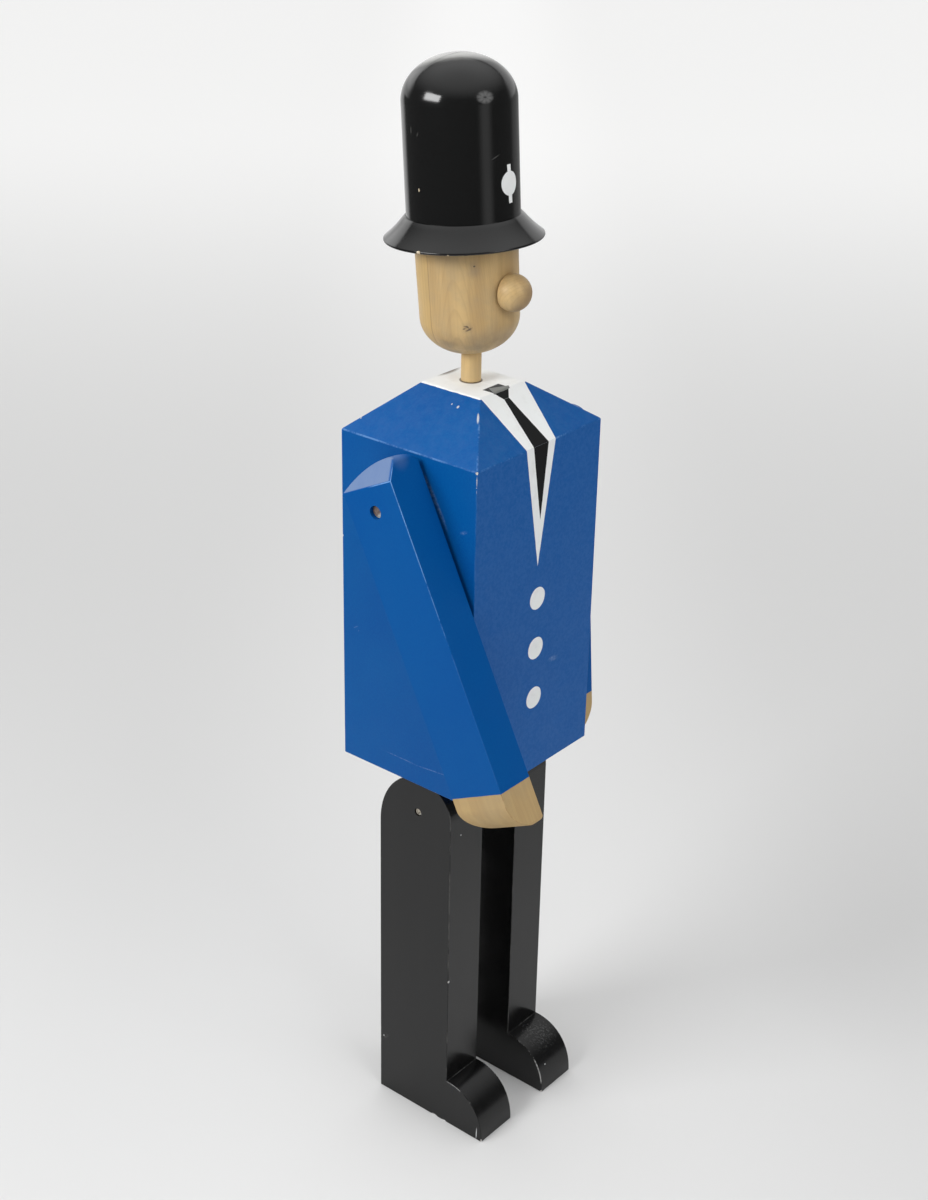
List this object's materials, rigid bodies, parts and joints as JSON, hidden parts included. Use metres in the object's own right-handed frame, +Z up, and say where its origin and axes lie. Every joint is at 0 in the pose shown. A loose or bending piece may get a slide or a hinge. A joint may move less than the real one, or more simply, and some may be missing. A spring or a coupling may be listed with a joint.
{
  "type": "painted wooden policeman figure",
  "caption": "Standing painted wooden policeman with a block body, swinging arms, straight legs, turned head, ball nose and tall domed helmet.",
  "frame": {"origin": "middle of the bounding box, on the floor", "axes": "+Z up along the figure's height; the figure faces -Y; its right hand is on -X"},
  "size_m": [0.2556, 0.2368, 1.0098],
  "materials": {
    "blue_paint": "satin blue paint on wood, with a white collar, black tie and white buttons painted on",
    "black_trouser_paint": "satin black paint on wood",
    "black_helmet_paint": "glossy black lacquer on wood",
    "bare_wood": "bare pale hardwood, lightly handled"
  },
  "bodies": {
    "root": {"torso": "blue_paint", "right_arm": "blue_paint", "left_arm": "blue_paint", "right_leg": "black_trouser_paint", "left_leg": "black_trouser_paint", "hip_block": "black_trouser_paint", "helmet": "black_helmet_paint", "head": "bare_wood", "nose": "bare_wood", "neck_dowel": "bare_wood", "right_shoulder_pin": "bare_wood", "left_shoulder_pin": "bare_wood", "right_hip_pin": "bare_wood", "left_hip_pin": "bare_wood"}
  },
  "joints": []
}
